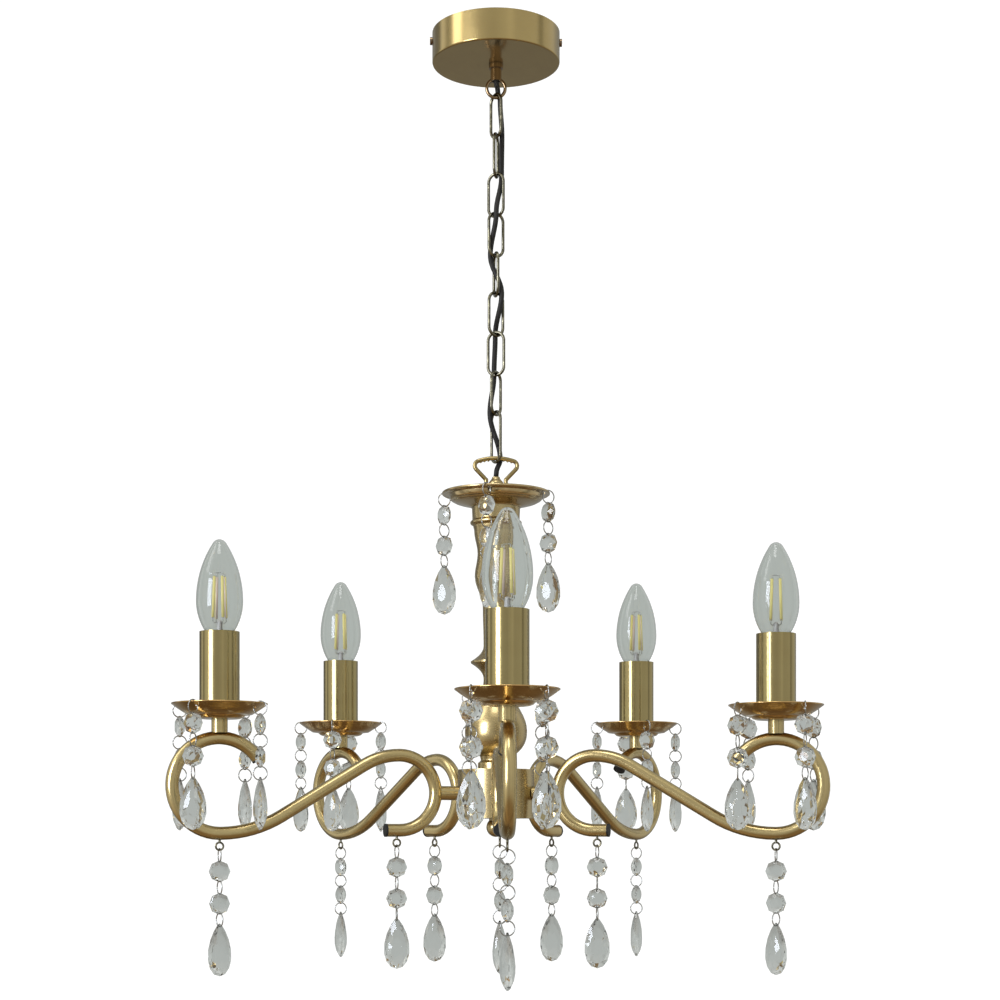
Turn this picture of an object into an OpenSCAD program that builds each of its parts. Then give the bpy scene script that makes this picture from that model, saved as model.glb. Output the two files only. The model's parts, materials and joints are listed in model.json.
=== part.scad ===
// Five-arm candle chandelier on a short chain, with crystal strands.
// The origin is the centre of the ceiling plane and +Z is up, so the whole light hangs below zero.
// Inside the fixture, heights are measured up from the undersides of the arm loops.

/* [Ceiling rose] */
// Outer radius of the canopy
canopy_r = 50; // [48:0.5:60]
// Depth of the canopy below the ceiling
canopy_h = 24; // [22:0.5:30]
// Sheet thickness of the canopy
canopy_wall = 1; // [0.8:0.1:1.5]
// Distance between the two ceiling fixing holes
fixing_pitch = 60; // [54:1:64]
// Radius of a ceiling fixing hole
fixing_hole_r = 2.5; // [2:0.1:3]
// Depth of the two side screws below the ceiling
side_screw_z = 6.5; // [6:0.5:8]
// Mean radius of the ring that the chain hangs from
hang_ring_r = 7.2; // [7:0.1:8]
// Radius of that ring's wire
hang_wire_r = 1.3; // [1.2:0.05:1.5]
// Length of the collar and neck between the canopy and the ring
hang_neck_h = 11.8; // [11:0.1:14]

/* [Chain and cord] */
// Length of a chain link over its ends
link_len = 36; // [34:0.5:40]
// Length of the lowest link, which opens
last_link_len = 42; // [38:0.5:46]
// Width of a chain link over its sides
link_w = 15.5; // [15:0.1:18]
// Radius of the link wire
link_wire_r = 1.2; // [1.1:0.05:1.3]
// Radius of the supply cord
cord_r = 2; // [1.5:0.1:2]

/* [Stirrup and crown dish] */
// Height of the stirrup's top bar above the arm loops
bar_up = 299.9; // [299:0.1:301]
// Radius of the stirrup wire
stirrup_wire_r = 1.65; // [1.5:0.05:1.7]
// Radius of the crown dish over its rolled rim
dish_r = 42.5; // [41:0.5:46]
// Height of the crown dish's rim above the arm loops
dish_up = 273; // [272:0.5:274]
// Radius of the dish's rolled rim
dish_roll_r = 1; // [0.9:0.05:1.2]

/* [Arms] */
// Distance from the centre column to each candle
candle_r = 220; // [215:1:225]
// Radius of the arm tube
tube_r = 5; // [4.8:0.1:5.2]
// Wall thickness of the arm tube
tube_wall = 1; // [0.8:0.1:1.2]
// Bend radius of the small scroll beside the hub
inner_bend_r = 29; // [28:0.5:30]
// Bend radius of the loop under the candle
outer_bend_r = 35.75; // [35:0.25:36.5]
// Distance from the column to the centre of the small scroll
inner_loop_x = 79; // [78:0.5:80]
// Radius of the hub drum
hub_r = 30; // [29:0.5:31]
// Length of each arm's candle neck above the loop
neck_h = 9.2; // [9:0.1:11]

/* [Candles] */
// Radius of a drip pan
pan_r = 36; // [35:0.5:38]
// Depth of a drip pan from its rim to its cup
pan_h = 11.7; // [11.5:0.1:12]
// Radius of a candle sleeve
sleeve_r = 15; // [14.8:0.1:16]
// Length of a candle sleeve
sleeve_h = 64; // [62:1:80]
// Greatest radius of a bulb
bulb_r = 17.5; // [17:0.1:18]
// Length of the bulb's glass
glass_h = 75; // [74:0.5:76]

/* [Crystal strands] */
// Mean radius of a jump ring
ring_r = 5.12; // [5:0.02:5.2]
// Radius of the jump ring wire
ring_wire_r = 0.475; // [0.4:0.025:0.5]
// Corner radius of an octagon bead
bead_r = 8.2; // [8.1:0.1:8.6]
// Thickness of an octagon bead
bead_t = 7.5; // [6.5:0.1:8]
// Length of a teardrop
drop_len = 39.4; // [37:0.1:42]
// Width of a teardrop
drop_w = 20.6; // [19:0.1:22]
// Thickness of a teardrop
drop_t = 10; // [8:0.5:11]

/* [Hidden] */

// Gap left between two pieces that touch, and the overlap that makes a cut clean
gap = 0.05;
cut = 1;

// Turned and bent metal, drawn with this many sides where it is round
round_fn = 96;
wire_fn = 32;
// Round pieces are turned by this much so that their seams lie off the planes of symmetry
seam_turn = 17;

// Ceiling rose
canopy_edge_r = 1.2;
bracket_t = 1.5;
bracket_w = 14;
bracket_x = 47;
bracket_leg = 12;
cable_hole_x = -14;
cable_hole_r = 4.5;
screw_r = 1.95;
stem_r = 4.9;
stem_bore_r = 2.9;
collar_r = 5.6;
collar_h = 3.6;
hang_neck_r = 4.3;
locknut_h = 4;
connector_size = [26, 14, 10];
hang_ring_z = -canopy_h - hang_neck_h - hang_ring_r;
hang_wire_z = hang_ring_z - hang_ring_r;

// Chain: every link is turned about the vertical by its own angle
link_turn = [-55, 75, -30, 30, -78, 32, -22, 55, -60];
links = len(link_turn);
link_bend_r = link_w / 2 - link_wire_r;
link_seam = 0.35;
link_step = link_len - 4 * link_wire_r - gap;
chain_top_z = hang_wire_z + hang_wire_r + link_wire_r + gap;
last_link_z = chain_top_z - (links - 1) * link_step;
last_wire_z = last_link_z - last_link_len + 2 * link_wire_r;
// The cord passes each joint between two links on the side given here
cord_flip = [0, 0, 1, 1, 0, 0, 0, 1];
cord_off = 4.8;

// Fixture: the stirrup's bar rests on the lowest link
bar_play = 0.2;
bar_z = last_wire_z + link_wire_r + stirrup_wire_r + bar_play;
fixture_z = bar_z - bar_up;
stirrup_leg_x = 7.75;
washer_h = 2.4;

// Column
centre_tube_r = 4;
centre_bore_r = 2.8;
column_bore_r = 4.3;
column_wall = 1.5;
dish_floor_up = 261;
dish_sheet = 1.2;
hub_top = 55.2;
hub_bottom = 17;
hub_wall = 1.5;
boss_up = 36.5;
boss_r = 5.5;
boss_stub_r = 4.2;

// Arms, at equal steps from the front
arm_count = 5;
function arm_angle(i) = -90 + i * 360 / arm_count;
inner_bend_up = 36.5;
outer_bend_up = outer_bend_r + tube_r;
shoulder_bend_r = 55;
sweep_bend_r = 92;
inner_end = 270;
inner_end_len = 10.5;
inner_eye_x = inner_loop_x + 2.5;
outer_end = 144;
// Bends of one tube meet end to end; each next one is this much thinner and reaches in this far
bend_step = 0.02;
bend_lap = 0.4;

// The tube's centre line lies in the XZ plane: scroll, shoulder, straight, sweep, loop
inner_c = [inner_loop_x, inner_bend_up];
scroll_foot = inner_c - [0, inner_bend_r];
inner_tip = scroll_foot + [inner_end_len, 0];
outer_c = [candle_r, outer_bend_up];
shoulder_c = inner_c + [0, inner_bend_r - shoulder_bend_r];
sweep_c = outer_c + [0, sweep_bend_r - outer_bend_r];
span = sweep_c - shoulder_c;
span_len = norm(span);
straight_normal = atan2(span[1], span[0]) + acos((shoulder_bend_r + sweep_bend_r) / span_len);
straight_from = shoulder_c + shoulder_bend_r * [cos(straight_normal), sin(straight_normal)];
straight_to = sweep_c - sweep_bend_r * [cos(straight_normal), sin(straight_normal)];

// Candles
loop_top_up = outer_bend_up + outer_bend_r;
pan_floor_up = loop_top_up + tube_r + neck_h;
pan_rim_up = pan_floor_up + pan_h;
pan_sheet = 1;
pan_roll_r = 0.5;
neck_r = 6.1;
neck_foot = 3.8;
nipple_r = 5;
nipple_h = 9;
wire_hole_r = 3;
lamp_wire_r = 1.5;
cup_up = pan_floor_up + pan_sheet + gap;
holder_r = 12.5;
holder_h = 54;
holder_bore_r = 7.3;
sleeve_wall = 1;
sleeve_top_up = cup_up + sleeve_h;
glass_show = 69.1;
bulb_tip_up = sleeve_top_up + glass_show;
cap_r = 6.9;
cap_h = 25;
glass_wall = 0.8;
flank_bend_r = 81;
belly_bend_r = 42;
widest_d = 46;

// Eyelets under the arms
eye_r = 2.85;
eye_wire_r = 0.75;
eye_shank_r = 0.95;
eye_drop = 4.7;

// Strands: a ring hangs on a rim or an eyelet, and a bead hangs on each ring
bead_edge = 1.8;
bead_table_r = 4;
bead_hole_r = 0.75;
hole_inset = 1.05;
bead_hole_z = bead_r - hole_inset;
ring_bow = 0.18;
link_pitch = bead_hole_z + ring_r - ring_bow;
drop_edge = 2;
drop_table_r = 3;
drop_pinch = 0.6;
drop_fullest = 0.841;
drop_middle = -0.12;
drop_hole_z = drop_len / 2 - 2.2;
// Holes that the rings pass, as [radius, distance inside the hanging point]
pan_hole = [1.7, 4.85];
dish_hole = [2, 4.1];
// Each strand's first ring is turned from the rim's radius by this angle, one row per drip pan
pan_turn = [
    [-34, -12, 30, 34],
    [0, -12, 25, -35],
    [8, -25, 15, -5],
    [20, 5, -10, 12],
    [-8, 15, -15, 30]
];
dish_turn = [38, 0, 38, -25];
// The dish's strands hang at quarter turns from this angle
dish_strands_from = -12;
// Each piece down a strand turns on by this angle
pan_twist = [
    [-3, -6, 7, 3],
    [6, 8, 7, -7],
    [-5, 4, 8, -6],
    [6, -7, 3, 5],
    [7, 6, -6, 5]
];
dish_twist = [8, 3, 8, -6];
outer_twist = [3, -6, 5, -4, 4];
inner_twist = [-4, 5, -7, 6, -3];

function arc(c, r, from, to, n) = [for (i = [0:n])
    let(a = from + (to - from) * i / n)
    c + r * [cos(a), sin(a)]];
function reversed(list) = [for (i = [len(list) - 1:-1:0]) list[i]];
function ease(t) = (1 - cos(180 * t)) / 2;

// A turned outline that eases from one [height, radius] station to the next
function turned(stations, n) = concat(
    [for (i = [0:len(stations) - 2], k = [0:n - 1])
        let(a = stations[i], b = stations[i + 1], t = k / n)
        [a[1] + (b[1] - a[1]) * ease(t), a[0] + (b[0] - a[0]) * t]],
    [[stations[len(stations) - 1][1], stations[len(stations) - 1][0]]]
);

module at_fixture() {
    translate([0, 0, fixture_z])
        children();
}

module each_arm() {
    for (i = [0:arm_count - 1])
        rotate([0, 0, arm_angle(i)])
            children();
}

// A ring standing in the XZ plane
module upright_ring(r, wire_r) {
    rotate([90, 0, 0])
        rotate_extrude($fn = round_fn)
            translate([r, 0])
                circle(r = wire_r, $fn = wire_fn);
}

// Part of a ring in the XZ plane, between two angles about its centre
module bend(c, r, from, to, wire_r) {
    translate([c[0], 0, c[1]])
        rotate([90, 0, 0])
            rotate([0, 0, from])
                rotate_extrude(angle = to - from, $fn = round_fn)
                    translate([r, 0])
                        circle(r = wire_r, $fn = wire_fn);
}

// A straight rod in the XZ plane
module rod(from, to, r) {
    along = to - from;
    translate([from[0], 0, from[1]])
        rotate([0, atan2(along[0], along[1]), 0])
            rotate([0, 0, seam_turn])
                cylinder(r = r, h = norm(along), $fn = wire_fn);
}

// Wire bent through a list of points in the XZ plane, with a ball at each corner but the last
module bent_wire(points, r) {
    for (i = [0:len(points) - 2])
        rod(points[i], points[i + 1], r);
    for (i = [0:len(points) - 2])
        translate([points[i][0], 0, points[i][1]])
            rotate([seam_turn, 0, 2 * seam_turn])
                sphere(r = r + gap, $fn = wire_fn);
}

// Flexible cord as a stack of level rings around a falling path
module cord(path, r) {
    sides = 12;
    last = len(path) - 1;
    points = [for (p = path, k = [0:sides - 1]) p + r * [cos(k * 360 / sides), sin(k * 360 / sides), 0]];
    walls = [for (i = [0:last - 1], k = [0:sides - 1])
        let(n = (k + 1) % sides)
        [i * sides + k, i * sides + n, (i + 1) * sides + n, (i + 1) * sides + k]];
    caps = [[for (k = [sides - 1:-1:0]) k], [for (k = [0:sides - 1]) last * sides + k]];
    polyhedron(points = points, faces = concat(walls, caps));
}

// A path that eases between waypoints
function eased(points, n) = concat(
    [for (i = [0:len(points) - 2], k = [0:n - 1])
        let(a = points[i], b = points[i + 1], t = k / n)
        [a[0] + (b[0] - a[0]) * ease(t), a[1] + (b[1] - a[1]) * ease(t), a[2] + (b[2] - a[2]) * t]],
    [points[len(points) - 1]]
);

module ceiling_bracket() {
    color("silver")
        difference() {
            union() {
                translate([-bracket_x, -bracket_w / 2, -bracket_t])
                    cube([2 * bracket_x, bracket_w, bracket_t]);
                for (side = [0, 180])
                    rotate([0, 0, side])
                        translate([bracket_x - bracket_t, -bracket_w / 2, -bracket_leg])
                            cube([bracket_t, bracket_w, bracket_leg]);
            }
            for (x = [-fixing_pitch / 2, fixing_pitch / 2])
                translate([x, 0, -bracket_t - cut])
                    cylinder(r = fixing_hole_r, h = bracket_t + 2 * cut, $fn = wire_fn);
            translate([cable_hole_x, 0, -bracket_t - cut])
                cylinder(r = cable_hole_r, h = bracket_t + 2 * cut, $fn = wire_fn);
            translate([0, 0, -side_screw_z])
                rotate([0, 90, 0])
                    cylinder(r = screw_r + gap, h = 4 * bracket_x, center = true, $fn = wire_fn);
        }
}

module canopy() {
    corner = [canopy_r - canopy_edge_r, -canopy_h + canopy_edge_r];
    outline = concat(
        [[canopy_r - canopy_wall, 0], [canopy_r, 0]],
        arc(corner, canopy_edge_r, 0, -90, 6),
        [[stem_r + gap, -canopy_h], [stem_r + gap, -canopy_h + canopy_wall]],
        [[canopy_r - canopy_wall, -canopy_h + canopy_wall]]
    );
    color("darkgoldenrod")
        difference() {
            rotate_extrude($fn = round_fn)
                polygon(outline);
            translate([0, 0, -side_screw_z])
                rotate([0, 90, 0])
                    cylinder(r = screw_r + 4 * gap, h = 4 * canopy_r, center = true, $fn = wire_fn);
        }
}

// Two side screws and the locknut that holds the hanging loop
module canopy_fixings() {
    head_r = 3;
    head_h = 1.8;
    shank_h = 7;
    slot_w = 1;
    slot_d = 0.8;
    locknut_r = 8;
    color("goldenrod")
        for (side = [0, 180])
            rotate([0, 0, side])
                translate([canopy_r + gap, 0, -side_screw_z])
                    rotate([0, 90, 0])
                        difference() {
                            union() {
                                cylinder(r = head_r, h = head_h, $fn = wire_fn);
                                translate([0, 0, -shank_h])
                                    cylinder(r = screw_r, h = shank_h + gap, $fn = wire_fn);
                            }
                            translate([-slot_w / 2, -head_r, head_h - slot_d])
                                cube([slot_w, 2 * head_r, cut]);
                        }
    color("silver")
        translate([0, 0, -canopy_h + canopy_wall + gap])
            difference() {
                cylinder(r = locknut_r, h = locknut_h, $fn = 6);
                translate([0, 0, -cut])
                    cylinder(r = stem_r + gap, h = locknut_h + 2 * cut, $fn = wire_fn);
            }
}

module hang_loop() {
    stem_above_nut = 3;
    neck_into_ring = 1.7;
    stem_h = canopy_wall + locknut_h + stem_above_nut;
    neck_z = hang_ring_z + hang_ring_r - neck_into_ring;
    color("saddlebrown")
        difference() {
            union() {
                translate([0, 0, -canopy_h - cut])
                    cylinder(r = stem_r, h = stem_h + cut, $fn = wire_fn);
                translate([0, 0, -canopy_h - gap - collar_h])
                    cylinder(r = collar_r, h = collar_h, $fn = wire_fn);
                translate([0, 0, neck_z])
                    cylinder(r = hang_neck_r, h = -canopy_h - collar_h - neck_z, $fn = wire_fn);
                translate([0, 0, hang_ring_z])
                    upright_ring(hang_ring_r, hang_wire_r);
            }
            translate([0, 0, neck_z - 2 * cut])
                cylinder(r = stem_bore_r, h = -neck_z + 2 * cut, $fn = wire_fn);
        }
}

// Terminal block above the canopy's floor, with the cord's tail down through the hanging loop
module supply_connector() {
    block_x = -4;
    block_z = -bracket_t - gap - connector_size[2];
    ways = 3;
    way_pitch = 7;
    way_from = 9;
    way_r = 2;
    way_depth = 4;
    color("white")
        difference() {
            translate([block_x, -connector_size[1] / 2, block_z])
                cube(connector_size);
            for (i = [0:ways - 1])
                translate([block_x + way_from + way_pitch * i, 0, block_z - cut])
                    cylinder(r = way_r, h = way_depth + cut, $fn = wire_fn);
        }
    color("dimgray")
        cord(eased([
            [0, 0, block_z - gap],
            [0, 0, hang_ring_z + hang_ring_r],
            [1.6, 3.8, hang_wire_z + 5.7]
        ], 8), cord_r);
}

// One oval link hanging from the centre of its top wire
module chain_link(len) {
    leg = len - link_w;
    difference() {
        union() {
            bend([0, -link_bend_r], link_bend_r, -gap, 180 + gap, link_wire_r);
            bend([0, -link_bend_r - leg], link_bend_r, 180 - gap, 360 + gap, link_wire_r);
            for (x = [-link_bend_r, link_bend_r])
                translate([x, 0, -link_bend_r - leg - bend_lap])
                    cylinder(r = link_wire_r - bend_step, h = leg + 2 * bend_lap, $fn = wire_fn);
        }
        translate([-link_bend_r, 0, -link_bend_r - leg / 2])
            cube([4 * link_wire_r, 4 * link_wire_r, link_seam], center = true);
    }
}

module chain_links() {
    color("darkkhaki")
        for (i = [0:links - 1])
            translate([0, 0, chain_top_z - i * link_step])
                rotate([0, 0, link_turn[i]])
                    chain_link(i == links - 1 ? last_link_len : link_len);
}

// Angle of the widest free sector between two crossing links
function free_angle(a, b) = (a + b) / 2 + (abs(b - a) < 90 ? 90 : 0);

module supply_cord() {
    joints = [for (i = [0:links - 2])
        let(a = free_angle(link_turn[i], link_turn[i + 1]) + 180 * cord_flip[i])
        [cord_off * cos(a), cord_off * sin(a), chain_top_z - (i + 1) * link_step - link_wire_r]];
    beside_ring = [[2.2, 4.1, hang_wire_z + 3], [3.4, 4.3, hang_wire_z - 0.5]];
    behind_bar = [[3.5, 4.2, bar_z], [0.3, 0.5, bar_z - 11.5]];
    color("dimgray")
        cord(eased(concat(beside_ring, joints, behind_bar), 6), cord_r);
}

module stirrup() {
    arch_r = 45;
    arch_half = 18;
    arch_end = arch_r * [sin(arch_half), cos(arch_half) - 1];
    corner_r = 4;
    corner_c = arch_end - corner_r * [sin(arch_half), cos(arch_half)];
    corner_turn = -43.5;
    washer_up = dish_floor_up + dish_sheet + gap;
    washer_r = 11;
    tooth_r = 0.9;
    teeth = [-12, -9, -6, 6, 9, 12];
    tooth_sink = 1.5;
    side = [
        corner_c + corner_r * [cos(corner_turn), sin(corner_turn)],
        [stirrup_leg_x, -17],
        [stirrup_leg_x, washer_up + washer_h / 2 - bar_up]
    ];
    color("goldenrod")
        translate([0, 0, bar_z])
            difference() {
                union() {
                    bend([0, -arch_r], arch_r, 90 - arch_half, 90 + arch_half, stirrup_wire_r);
                    for (turn = [0, 180])
                        rotate([0, 0, turn]) {
                            bend(corner_c, corner_r, corner_turn, 90 - arch_half + lap_angle(corner_r),
                                stirrup_wire_r - bend_step);
                            bent_wire(side, stirrup_wire_r);
                        }
                    for (x = teeth)
                        translate([x, 0, -tooth_sink - x * x / (2 * arch_r)])
                            rotate([seam_turn, 0, 2 * seam_turn])
                                sphere(r = tooth_r, $fn = wire_fn);
                    translate([0, 0, washer_up - bar_up])
                        rotate([0, 0, 2 * seam_turn])
                            cylinder(r = washer_r, h = washer_h, $fn = wire_fn);
                }
                translate([0, 0, washer_up - bar_up - cut])
                    cylinder(r = centre_tube_r + gap, h = washer_h + 2 * cut, $fn = wire_fn);
            }
}

// Domed nut under the stirrup, ball finial under the hub, and a locknut inside the hub for each arm
module assembly_nuts() {
    nut_r = 5.95;
    nut_up = dish_floor_up + dish_sheet + washer_h + 2 * gap;
    dome_up = 279.5;
    dome_h = 5.5;
    dome_top_r = 3;
    cord_hole_r = 2.4;
    dome_wall = 1;
    ball_r = 7.6;
    ball_up = 10;
    ball_neck_r = 5.5;
    thread_from = 3;
    hex_r = 7.5;
    hex_h = 3;
    hex_play = 0.9;
    color("goldenrod")
        at_fixture() {
            rotate_extrude($fn = round_fn)
                polygon(concat(
                    [[centre_tube_r + gap, nut_up], [nut_r, nut_up]],
                    turned([[dome_up, nut_r], [dome_up + dome_h, dome_top_r]], 8),
                    [[cord_hole_r, dome_up + dome_h], [cord_hole_r, dome_up + dome_wall]],
                    [[centre_tube_r + gap, dome_up + dome_wall]]
                ));
            difference() {
                union() {
                    translate([0, 0, ball_up])
                        sphere(r = ball_r, $fn = round_fn);
                    translate([0, 0, ball_up])
                        cylinder(r = ball_neck_r, h = hub_bottom - gap - ball_up, $fn = wire_fn);
                }
                translate([0, 0, ball_up - thread_from])
                    cylinder(r = centre_tube_r + gap, h = hub_bottom, $fn = wire_fn);
            }
        }
    color("silver")
        at_fixture()
            each_arm()
                translate([hub_r - hub_wall - hex_play - hex_h, 0, boss_up])
                    rotate([0, 90, 0])
                        difference() {
                            cylinder(r = hex_r, h = hex_h, $fn = 6);
                            translate([0, 0, -cut])
                                cylinder(r = boss_stub_r + gap, h = hex_h + 2 * cut, $fn = wire_fn);
                        }
}

// Turns a rim strand's hole about the axis it hangs from
module rim_holes(r, turns, z, hole) {
    reach = 20;
    for (k = [0:3])
        rotate([0, 0, 90 * k])
            translate([r, 0, z])
                rotate([0, 0, turns[k]])
                    translate([-hole[1], 0, -reach])
                        cylinder(r = hole[0], h = 2 * reach, $fn = wire_fn);
}

module crown_dish() {
    roll = [dish_r - dish_roll_r, dish_up - dish_roll_r];
    lip = [roll + [0, -dish_roll_r + 0.2], [37.6, dish_up - 2.4], [36.9, dish_up - 2.6]];
    band = [[36.4, dish_up - 5.2], [35.2, dish_up - 6.4]];
    under = concat(lip, band, turned([[dish_up - 6.8, 33.8], [dish_floor_up, 19.5]], 10));
    inside = concat(
        turned([[dish_up - 5.4, 33.2], [dish_floor_up + dish_sheet, 18.5]], 10),
        [[column_bore_r, dish_floor_up + dish_sheet], [column_bore_r, dish_floor_up]]
    );
    color("darkgoldenrod")
        at_fixture()
            difference() {
                rotate_extrude($fn = round_fn)
                    union() {
                        polygon(concat([roll + [0, dish_roll_r - 0.3], [35.6, dish_up - 1.9]], inside,
                            reversed(under)));
                        translate(roll)
                            circle(r = dish_roll_r, $fn = wire_fn);
                    }
                rotate([0, 0, dish_strands_from])
                    rim_holes(dish_r - dish_roll_r, dish_turn, dish_floor_up, dish_hole);
            }
}

// A hollow turned section with this outline, top first
module hollow_turning(outside) {
    inside = [for (p = reversed(outside)) [max(p[0] - column_wall, column_bore_r), p[1]]];
    rotate_extrude($fn = round_fn)
        polygon(concat(outside, inside));
}

// The column stacks a tapered spindle, a knop with a sharp edge, and a full-bellied vase on a foot
module column() {
    knop_up = 139.5;
    knop_half = 12;
    knop_r = 19.8;
    knop_waist_r = 9.8;
    knop_end = 14.5;
    knop_edge = 0.7;
    knop_steps = 8;
    spindle = [
        [dish_floor_up - gap, 18.9], [251.5, 18.6], [249.4, 20.2], [248.4, 20.2], [246.4, 17.9],
        [243, 17.2], [225, 14.5], [207, 16.7], [183, 10.4], [knop_up + knop_end + gap, knop_waist_r]
    ];
    belly_r = 24.4;
    belly_up = 84;
    belly_drop = 21.5;
    belly_end = 59;
    belly_steps = 10;
    belly = [for (k = [0:belly_steps])
        let(a = k * belly_end / belly_steps)
        [belly_r * cos(a), belly_up - belly_drop * sin(a)]];
    foot = [[12, 63.4], [12, 62.4], [14.2, 60.4], [14.2, hub_top + gap]];
    flank = [for (k = [0:knop_steps])
        let(t = k / knop_steps)
        [knop_waist_r + (knop_r - knop_waist_r) * t * t, knop_half * (1 - t) + knop_edge]];
    color("darkgoldenrod")
        at_fixture() {
            hollow_turning(turned(spindle, 5));
            rotate_extrude($fn = round_fn)
                polygon(concat(
                    [[column_bore_r, knop_up + knop_end], [knop_waist_r, knop_up + knop_end]],
                    [for (p = flank) [p[0], knop_up + p[1]]],
                    [for (p = reversed(flank)) [p[0], knop_up - p[1]]],
                    [[knop_waist_r, knop_up - knop_end], [column_bore_r, knop_up - knop_end]]
                ));
            hollow_turning(concat(
                turned([[knop_up - knop_end - gap, knop_waist_r], [belly_up + 2, belly_r]], 10),
                belly,
                foot
            ));
        }
}

module centre_tube() {
    foot_up = 8;
    tube_h = 272;
    color("silver")
        at_fixture()
            translate([0, 0, foot_up])
                difference() {
                    cylinder(r = centre_tube_r, h = tube_h, $fn = wire_fn);
                    translate([0, 0, -cut])
                        cylinder(r = centre_bore_r, h = tube_h + 2 * cut, $fn = wire_fn);
                }
}

// A drum that takes the five arms, closed below by its own cover
module hub() {
    cover_t = 1.5;
    color("darkgoldenrod")
        at_fixture() {
            difference() {
                translate([0, 0, hub_bottom])
                    cylinder(r = hub_r, h = hub_top - hub_bottom, $fn = round_fn);
                translate([0, 0, hub_bottom - cut])
                    cylinder(r = hub_r - hub_wall, h = hub_top - hub_bottom - hub_wall + cut,
                        $fn = round_fn);
                cylinder(r = column_bore_r, h = hub_top + cut, $fn = wire_fn);
                each_arm()
                    translate([0, 0, boss_up])
                        rotate([0, 90, 0])
                            cylinder(r = boss_stub_r + gap, h = 2 * hub_r, $fn = wire_fn);
            }
            difference() {
                translate([0, 0, hub_bottom])
                    cylinder(r = hub_r - hub_wall - gap, h = cover_t, $fn = round_fn);
                cylinder(r = column_bore_r, h = hub_top + cut, $fn = wire_fn);
            }
        }
}

function lap_angle(r) = bend_lap / r * 180 / PI;

// One arm's centre line swept at radius r, from an angle on the scroll to an angle on the loop
module arm_sweep(r, scroll_to, loop_to) {
    along = (straight_to - straight_from) / norm(straight_to - straight_from);
    bend(inner_c, inner_bend_r, 90, scroll_to, r);
    bend(shoulder_c, shoulder_bend_r, straight_normal, 90 + lap_angle(shoulder_bend_r), r - bend_step);
    rod(straight_from - bend_lap * along, straight_to + bend_lap * along, r - 2 * bend_step);
    bend(sweep_c, sweep_bend_r, 180 + straight_normal, 270 + lap_angle(sweep_bend_r), r - bend_step);
    bend(outer_c, outer_bend_r, -90, loop_to, r);
}

module arms() {
    boss_into_tube = 3;
    stub_from = hub_r - 6;
    bore_past = 2;
    eye_hole_h = 7;
    boss_to = inner_loop_x - inner_bend_r - boss_into_tube;
    color("goldenrod")
        at_fixture()
            each_arm()
                difference() {
                    union() {
                        arm_sweep(tube_r, inner_end, outer_end);
                        rod(scroll_foot - [bend_lap, 0], inner_tip, tube_r - bend_step);
                        rod([hub_r + gap, boss_up], [boss_to, boss_up], boss_r);
                        rod([stub_from, boss_up], [boss_to, boss_up], boss_stub_r);
                    }
                    arm_sweep(tube_r - tube_wall, inner_end, outer_end + bore_past);
                    rod(scroll_foot - [bend_lap, 0], inner_tip + [cut, 0], tube_r - tube_wall - bend_step);
                    rod([0, boss_up], [inner_loop_x - inner_bend_r + cut, boss_up], wire_hole_r);
                    rod([candle_r, loop_top_up], [candle_r, loop_top_up + 2 * tube_r], wire_hole_r);
                    for (x = [inner_eye_x, candle_r])
                        translate([x, 0, -cut])
                            cylinder(r = eye_shank_r + gap, h = eye_hole_h + cut, $fn = wire_fn);
                }
}

// A plug with its cap on the end of a tube that heads upwards after a turn by an angle
module end_plug(at, angle) {
    cap_h = 1.6;
    cap_over = 0.1;
    stub_h = 3;
    stub_play = 0.3;
    translate([at[0], 0, at[1]])
        rotate([0, -angle, 0])
            union() {
                translate([0, 0, gap])
                    cylinder(r = tube_r + cap_over, h = cap_h, $fn = wire_fn);
                translate([0, 0, -stub_h])
                    cylinder(r = tube_r - tube_wall - stub_play, h = stub_h + cut, $fn = wire_fn);
            }
}

module arm_end_plugs() {
    color("black")
        at_fixture()
            each_arm() {
                end_plug(inner_tip, inner_end);
                end_plug(outer_c + outer_bend_r * [cos(outer_end), sin(outer_end)], outer_end);
            }
}

// Heights of the arm's lowest points, where the eyelets screw in
inner_eye_up = inner_bend_up - inner_bend_r - tube_r;
outer_eye_up = 0;

module eyelet(x, up) {
    into_ring = 0.3;
    into_tube = 1.2;
    translate([x, 0, up]) {
        translate([0, 0, -eye_drop])
            upright_ring(eye_r, eye_wire_r);
        translate([0, 0, -eye_drop + eye_r - into_ring])
            cylinder(r = eye_shank_r, h = eye_drop - eye_r + into_ring + into_tube, $fn = wire_fn);
    }
}

module eyelets() {
    color("darkolivegreen")
        at_fixture()
            each_arm() {
                eyelet(inner_eye_x, inner_eye_up);
                eyelet(candle_r, outer_eye_up);
            }
}

module drip_pan(turns) {
    roll = [pan_r - pan_roll_r, pan_h - pan_roll_r];
    rim = pan_roll_r * [0.7, -0.7];
    under = [[nipple_r + gap, 0], [15.4, 0], [17.6, 0.7], [19.4, 2.5], [24.6, 3.2], [31, 7.3]];
    above = [for (p = under) p + [0, pan_sheet]];
    difference() {
        rotate_extrude($fn = round_fn)
            union() {
                polygon(concat(under, [roll + rim, roll - rim], reversed(above)));
                translate(roll)
                    circle(r = pan_roll_r, $fn = wire_fn);
            }
        rim_holes(pan_r - pan_roll_r, turns, 0, pan_hole);
    }
}

module drip_pans() {
    color("sienna")
        at_fixture()
            for (i = [0:arm_count - 1])
                rotate([0, 0, arm_angle(i)])
                    translate([candle_r, 0, pan_floor_up])
                        rotate([0, 0, 45])
                            drip_pan(pan_turn[i]);
}

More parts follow.
